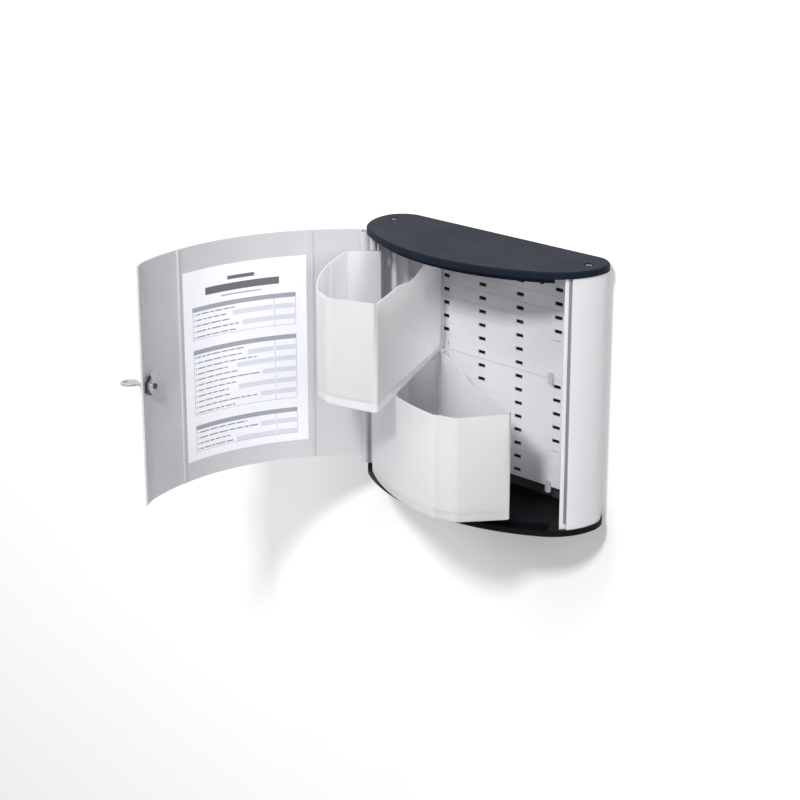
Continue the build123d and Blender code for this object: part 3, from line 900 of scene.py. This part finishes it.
@dataclass(frozen=True)
class SoftBins:
    """The bins with their upright folds rounded, as warm-formed sheet has them.

    Args:
        wide_fold: how far a rounding reaches from a fold between wide sides.
        narrow_fold: the same, for a fold beside a narrow side.
        narrow_side: a side below this width is narrow.
        least_turn: the smallest turn that is rounded, in degrees.
        hem_reach: folds this close to the hinge rod are the hem's and stay.
        steps: how many flats make up a rounding.
        merge_distance: corners this close to each other are one.
        flat_turn: faces that turn less than this are one flat side, in degrees.
        smooth_turn: the greatest turn that is shaded smooth, in degrees.
    """

    wide_fold: float = 0.005
    narrow_fold: float = 0.0016
    narrow_side: float = 0.008
    least_turn: float = 20.0
    hem_reach: float = 0.008
    steps: int = 5
    merge_distance: float = 0.00001
    flat_turn: float = 0.2
    smooth_turn: float = 32.0

    def build(self, paint: Paint) -> list[bpy.types.Object]:
        """Round the walls and the base of both bins.

        Args:
            paint: the finishes.

        Returns:
            The rounded pieces, each in place of its CAD node.
        """
        pieces = []
        for body in (Body.UPPER_BIN, Body.LOWER_BIN):
            for part in ("walls", "base"):
                node = f"{body.value}_{part}"
                piece = self.rounded(node)
                piece.data.materials.clear()
                piece.data.materials.append(paint.get(NODE_FINISHES[node]))
                pieces.append(finish_piece(piece, f"{body.value}_soft_{part}", body))
                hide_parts(node)
        return pieces

    def rounded(self, node: str) -> bpy.types.Object:
        """Copy a node's mesh, merge it and round its folds.

        Args:
            node: the node's name.

        Returns:
            The rounded copy.
        """
        piece = bpy.data.objects.new(node, NODES[node].data.copy())
        bpy.context.scene.collection.objects.link(piece)
        clear_selection()
        bpy.context.view_layer.objects.active = piece
        piece.select_set(True)
        bpy.ops.object.mode_set(mode="EDIT")
        bpy.ops.mesh.select_all(action="SELECT")
        bpy.ops.mesh.remove_doubles(threshold=self.merge_distance)
        bpy.ops.mesh.dissolve_limited(angle_limit=math.radians(self.flat_turn))
        bpy.ops.mesh.select_mode(type="EDGE")
        for reach, narrow in ((self.narrow_fold, True), (self.wide_fold, False)):
            self.pick_folds(piece, narrow)
            bpy.ops.mesh.bevel(offset=reach, segments=self.steps, affect="EDGES")
        bpy.ops.object.mode_set(mode="OBJECT")
        bpy.ops.object.shade_smooth_by_angle(angle=math.radians(self.smooth_turn))
        return piece

    def pick_folds(self, piece: bpy.types.Object, narrow: bool) -> None:
        """Select the upright folds beside narrow sides, or those between wide ones.

        Args:
            piece: the bin's piece, in edit mode.
            narrow: whether to select the folds beside narrow sides.
        """
        bpy.ops.mesh.select_all(action="DESELECT")
        shape = bmesh.from_edit_mesh(piece.data)
        for edge in shape.edges:
            if self.is_fold(edge):
                narrowest = min(self.width(face) for face in edge.link_faces)
                edge.select_set((narrowest < self.narrow_side) is narrow)
        bmesh.update_edit_mesh(piece.data)

    def is_fold(self, edge: bmesh.types.BMEdge) -> bool:
        """Tell whether an edge is an upright fold away from the hinge rod.

        Args:
            edge: an edge of the merged mesh.

        Returns:
            Whether it is such a fold.
        """
        first, last = (vertex.co for vertex in edge.verts)
        upright = (first - last).to_2d().length < self.merge_distance
        rod = Vector(JOINTS["upper_bin_swing"]["pos_m"]).to_2d()
        if not upright or len(edge.link_faces) != 2 or (first.to_2d() - rod).length < self.hem_reach:
            return False
        return abs(edge.calc_face_angle(0.0)) > math.radians(self.least_turn)

    def width(self, face: bmesh.types.BMFace) -> float:
        """The greatest level distance between two corners of a face."""
        flat = [vertex.co.to_2d() for vertex in face.verts]
        return max((a - b).length for a in flat for b in flat)


@dataclass(frozen=True)
class CapScrews:
    """Domed screws with a round socket, in the recesses of both caps.

    Args:
        radius: radius of a head.
        height: height of a head.
        dome: how far the dome's rounding reaches.
        dome_steps: how many flats make up the rounding.
        crown: gap between the crown and the cap's face.
        socket: radius of the socket.
        socket_depth: depth of the socket.
        sides: how many flats make up a head's circle.
        level: corners this close to the crown's height are on the crown.
        smooth_turn: the greatest turn that is shaded smooth, in degrees.
    """

    radius: float = 0.0040
    height: float = 0.0024
    dome: float = 0.0015
    dome_steps: int = 5
    crown: float = 0.0008
    socket: float = 0.0016
    socket_depth: float = 0.0011
    sides: int = 48
    level: float = 0.000001
    smooth_turn: float = 35.0

    def build(self, paint: Paint) -> bpy.types.Object:
        """Model the two upper screws, mirror them to the lower cap and join all four.

        Args:
            paint: the finishes.

        Returns:
            The screws, in place of the CAD node.
        """
        low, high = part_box("cap_screws")
        cap_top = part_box("top_cap")[1][2]
        middle_y = (low[1] + high[1]) / 2
        node_radius = (high[1] - low[1]) / 2
        x = high[0] - node_radius
        clear_selection()
        heads = [self.head(side * x, middle_y, cap_top) for side in (-1, 1)]
        heads += [self.mirrored(head) for head in heads]
        clear_selection()
        for head in heads:
            head.select_set(True)
        bpy.context.view_layer.objects.active = heads[0]
        bpy.ops.object.join()
        screws = bpy.context.object
        bpy.ops.object.shade_smooth_by_angle(angle=math.radians(self.smooth_turn))
        screws.data.materials.append(paint.get("bright_steel"))
        finish_piece(screws, "cap_screw_heads", Body.CABINET)
        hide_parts("cap_screws")
        return screws

    def head(self, x: float, y: float, cap_top: float) -> bpy.types.Object:
        """Model a domed head with its socket, its place put into its mesh.

        Args:
            x: its place from left to right.
            y: its place from front to back.
            cap_top: height of the cap's face.

        Returns:
            The head.
        """
        top = cap_top - self.crown
        place = (x, y, top - self.height / 2)
        bpy.ops.mesh.primitive_cylinder_add(
            vertices=self.sides, radius=self.radius, depth=self.height, location=place
        )
        piece = bpy.context.object
        bpy.ops.object.transform_apply(location=True, rotation=True, scale=True)
        bpy.ops.object.mode_set(mode="EDIT")
        self.pick_crown(piece, top)
        bpy.ops.mesh.bevel(offset=self.dome, segments=self.dome_steps, affect="EDGES")
        self.pick_crown(piece, top)
        bpy.ops.mesh.inset(thickness=self.radius - self.dome - self.socket)
        bpy.ops.mesh.extrude_region_move(TRANSFORM_OT_translate={"value": (0, 0, -self.socket_depth)})
        bpy.ops.object.mode_set(mode="OBJECT")
        return piece

    def mirrored(self, head: bpy.types.Object) -> bpy.types.Object:
        """Copy a head to the lower cap, turned over.

        Args:
            head: a head in the upper cap.

        Returns:
            The copy, with its own mesh.
        """
        lower = head.copy()
        lower.data = head.data.copy()
        bpy.context.scene.collection.objects.link(lower)
        lower.data.transform(Matrix.Scale(-1, 4, Vector((0, 0, 1))) @ head.matrix_world)
        lower.matrix_world = Matrix.Identity(4)
        lower.data.flip_normals()
        return lower

    def pick_crown(self, piece: bpy.types.Object, top: float) -> None:
        """Select the face that forms the crown.

        Args:
            piece: the head, in edit mode.
            top: height of the crown.
        """
        bpy.ops.mesh.select_mode(type="FACE")
        bpy.ops.mesh.select_all(action="DESELECT")
        shape = bmesh.from_edit_mesh(piece.data)
        for face in shape.faces:
            face.select_set(all(abs(vertex.co.z - top) < self.level for vertex in face.verts))
        bmesh.update_edit_mesh(piece.data)


@dataclass(frozen=True)
class PanelTicks:
    """Small scored ticks on the closed rows of the slotted panels, dark with painted shade of their
    scores.

    Args:
        spans: left and right end of each tick.
        heights: height of the ticks on each panel.
        line: width of a tick.
        depth: how far a tick stands on the panel.
        edge: how far the ticks' edges are bevelled.
    """

    spans: tuple[tuple[float, float], ...] = ((0.0690, 0.0712), (0.0730, 0.0818))
    heights: tuple[float, ...] = (0.0425, -0.0790)
    line: float = 0.0006
    depth: float = 0.00015
    edge: float = 0.00005

    def build(self, paint: Paint) -> bpy.types.Object:
        """Model all the ticks as one piece.

        Args:
            paint: the finishes.

        Returns:
            The ticks.
        """
        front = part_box("upper_slot_panel")[0][1]
        blocks = []
        for height in self.heights:
            for left, right in self.spans:
                place = ((left + right) / 2, front - self.depth / 2, height)
                blocks.append((place, (right - left, self.depth, self.line)))
        add_blocks(blocks)
        bpy.ops.mesh.bevel(offset=self.edge, segments=1, affect="EDGES")
        bpy.ops.object.mode_set(mode="OBJECT")
        ticks = bpy.context.object
        # The ticks' dark colour is painted shade of the scores.
        ticks.data.materials.append(paint.get("score_painted_shade"))
        return finish_piece(ticks, "panel_ticks", Body.CABINET)


# Stage


@dataclass(frozen=True)
class Lamp:
    """A soft square lamp that faces the cabinet.

    Args:
        name: the lamp's name.
        place: where it hangs.
        size: length of its side.
        power: its power in watts.
    """

    name: str
    place: Place
    size: float
    power: float

    def hang(self) -> None:
        """Add the lamp to the scene."""
        data = bpy.data.lights.new(self.name, "AREA")
        data.size = self.size
        data.energy = self.power
        lamp = bpy.data.objects.new(self.name, data)
        bpy.context.scene.collection.objects.link(lamp)
        lamp.location = self.place
        lamp.rotation_euler = (-Vector(self.place)).to_track_quat("-Z", "Y").to_euler()


LAMPS = (
    Lamp("key_light", (0.80, -2.05, 1.65), size=0.3, power=49.0),
    Lamp("right_light", (2.35, -1.10, 0.95), size=1.2, power=21.0),
    Lamp("top_light", (-0.20, -1.40, 2.00), size=0.8, power=18.0),
    Lamp("left_light", (-2.10, -1.90, 0.70), size=0.7, power=19.0),
)


@dataclass
class Studio:
    """The wall, the floor, the lights and the camera.

    Args:
        heading: how far the camera is turned to the left, in radians.
        distance: level distance of the camera from the cabinet.
        sideways: how far the camera stands to its own right.
        height: height of the camera above the cabinet's middle.
        pitch: how far the camera looks down, in radians.
        focal_px: its focal length, in pixels of the photograph.
        centre_row_px: the photograph's row that its axis meets, in pixels from the top.
        frame_px: width and height of the photograph, in pixels.
        sensor_mm: width of the camera's sensor, in millimetres.
        wall_gap: gap between the cabinet's back and the wall.
        floor_drop: how far the floor lies below the cabinet's middle.
        reach: half the width of the wall and of the floor.
        shade: brightness of the wall's and the floor's colour.
        wall_glow: strength of the wall's own light.
        floor_glow: strength of the floor's own light.
        room_light: strength of the room's light on the pieces.
        room_shown: strength of the room where it is seen.
    """

    heading: float = 0.7580
    distance: float = 2.0609
    sideways: float = -0.1110
    height: float = 0.6859
    pitch: float = 0.3152
    focal_px: float = 2042.8
    centre_row_px: float = 350.0
    frame_px: float = 800.0
    sensor_mm: float = 36.0
    wall_gap: float = 0.0004
    floor_drop: float = 0.95
    reach: float = 7.0
    shade: float = 0.90
    wall_glow: float = 0.14
    floor_glow: float = 0.45
    room_light: float = 0.35
    room_shown: float = 0.95

    def build(self) -> None:
        """Make the whole stage."""
        self.camera()
        self.backdrop()
        self.world()
        for lamp in LAMPS:
            lamp.hang()
        bpy.context.scene.view_settings.view_transform = "Standard"

    def camera(self) -> None:
        """Stand the camera where the photograph was taken from."""
        data = bpy.data.cameras.new("photo_camera")
        data.sensor_width = self.sensor_mm
        data.lens = self.focal_px / self.frame_px * self.sensor_mm
        data.shift_y = -(self.frame_px / 2 - self.centre_row_px) / self.frame_px
        camera = bpy.data.objects.new("photo_camera", data)
        bpy.context.scene.collection.objects.link(camera)
        ahead = Vector((-math.sin(self.heading), math.cos(self.heading), 0.0))
        right = Vector((math.cos(self.heading), math.sin(self.heading), 0.0))
        camera.location = right * self.sideways - ahead * self.distance + Vector((0, 0, self.height))
        camera.rotation_euler = (math.pi / 2 - self.pitch, 0.0, self.heading)
        bpy.context.scene.camera = camera

    def backdrop(self) -> None:
        """Model the wall and the floor, seen only from the room's side."""
        for name, place, turn, glow in (
            ("wall", (0.0, self.wall_gap, 0.0), (math.pi / 2, 0.0, 0.0), self.wall_glow),
            ("floor", (0.0, 0.0, -self.floor_drop), (0.0, 0.0, 0.0), self.floor_glow),
        ):
            clear_selection()
            bpy.ops.mesh.primitive_plane_add(size=2 * self.reach, location=place, rotation=turn)
            plane = bpy.context.object
            plane.name = name
            plane.data.materials.append(self.backdrop_material(name, glow))
            plane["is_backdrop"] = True

    def backdrop_material(self, name: str, glow: float) -> bpy.types.Material:
        """Make a pale surface that keeps shadows and lets light through from behind.

        Args:
            name: wall or floor.
            glow: strength of its own light.

        Returns:
            The material.
        """
        material = bpy.data.materials.new("backdrop_" + name)
        material.use_nodes = True
        graph = Graph(material.node_tree)
        material.node_tree.nodes.remove(material.node_tree.nodes["Principled BSDF"])
        matt = graph.add("BsdfDiffuse", {"Color": (self.shade, self.shade, self.shade)})
        light = graph.add("Emission", {"Color": (1.0, 1.0, 1.0), "Strength": glow})
        lit = graph.add("AddShader", {0: matt.outputs[0], 1: light.outputs[0]})
        front = graph.math("SUBTRACT", 1.0, graph.add("NewGeometry").outputs["Backfacing"])
        shown = graph.math("MULTIPLY", graph.shown_rays(), front)
        clear = graph.add("BsdfTransparent")
        mixed = graph.add("MixShader", {0: shown, 1: clear.outputs[0], 2: lit.outputs[0]})
        output = material.node_tree.nodes["Material Output"]
        material.node_tree.links.new(mixed.outputs[0], output.inputs["Surface"])
        return material

    def world(self) -> None:
        """Make soft even light, with a white room where the camera and reflections see it."""
        world = bpy.data.worlds.new("soft_room")
        bpy.context.scene.world = world
        world.use_nodes = True
        graph = Graph(world.node_tree)
        strength = graph.between(graph.shown_rays(), self.room_light, self.room_shown)
        background = world.node_tree.nodes["Background"]
        background.inputs["Color"].default_value = (1.0, 1.0, 1.0, 1.0)
        world.node_tree.links.new(strength, background.inputs["Strength"])


def write_sizes() -> None:
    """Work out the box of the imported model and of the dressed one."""
    boxes = {"cad": cad_box, "visual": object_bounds()}
    plain = {name: [list(corner) for corner in box] for name, box in boxes.items()}


def main() -> None:
    """Dress the frame, add the pieces and set the stage."""
    logging.basicConfig(level=logging.INFO, format="%(name)s: %(message)s")
    Studio().build()
    paint = Paint()
    paint.dress_frame()
    ContentsPrint(LeafCurve()).build(paint)
    SoftBins().build(paint)
    PanelTicks().build(paint)
    CapScrews().build(paint)


if __name__ == "__main__":
    main()
    write_sizes()
